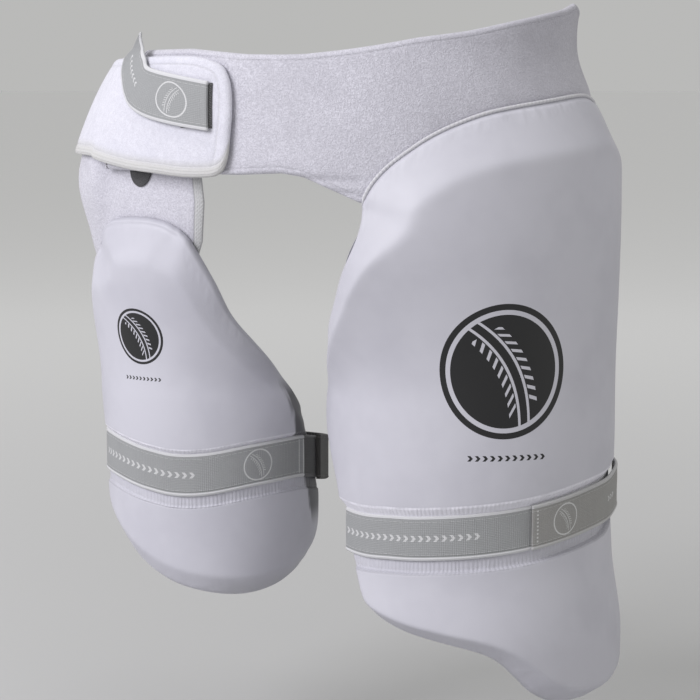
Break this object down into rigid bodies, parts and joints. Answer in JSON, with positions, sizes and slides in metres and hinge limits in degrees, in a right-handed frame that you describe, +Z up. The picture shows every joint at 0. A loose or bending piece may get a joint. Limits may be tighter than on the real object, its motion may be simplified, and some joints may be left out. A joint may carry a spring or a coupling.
{
  "type": "cricket thigh guard",
  "caption": "Soft lower-body guard: a velour waist belt with a closure flap carries a large and a small moulded thigh pad, each held by an elastic strap.",
  "frame": {"origin": "middle of the waist opening, half way up the belt's front", "axes": "+Z up, the wearer faces -Y, +X towards the wearer's left"},
  "size_m": [0.4142, 0.2541, 0.4837],
  "materials": {
    "belt_velour": "pale lilac-grey brushed loop velour",
    "flap_velour": "smoother off-white velour",
    "webbing": "grey ribbed elastic webbing with pale edges",
    "hook": "dark hook tape",
    "pad_face": "off-white matt synthetic leather"
  },
  "bodies": {
    "root": {"closure_flap": "flap_velour", "inner_pad_yoke": "belt_velour", "inner_strap": "webbing", "inner_strap_tab": "hook", "inner_thigh_pad": "pad_face", "outer_strap": "webbing", "outer_strap_overlap": "webbing", "outer_thigh_pad": "pad_face", "waist_belt": "belt_velour", "waist_strap": "webbing", "waist_strap_hook": "hook", "yoke_hook_patch": "hook"}
  },
  "joints": []
}
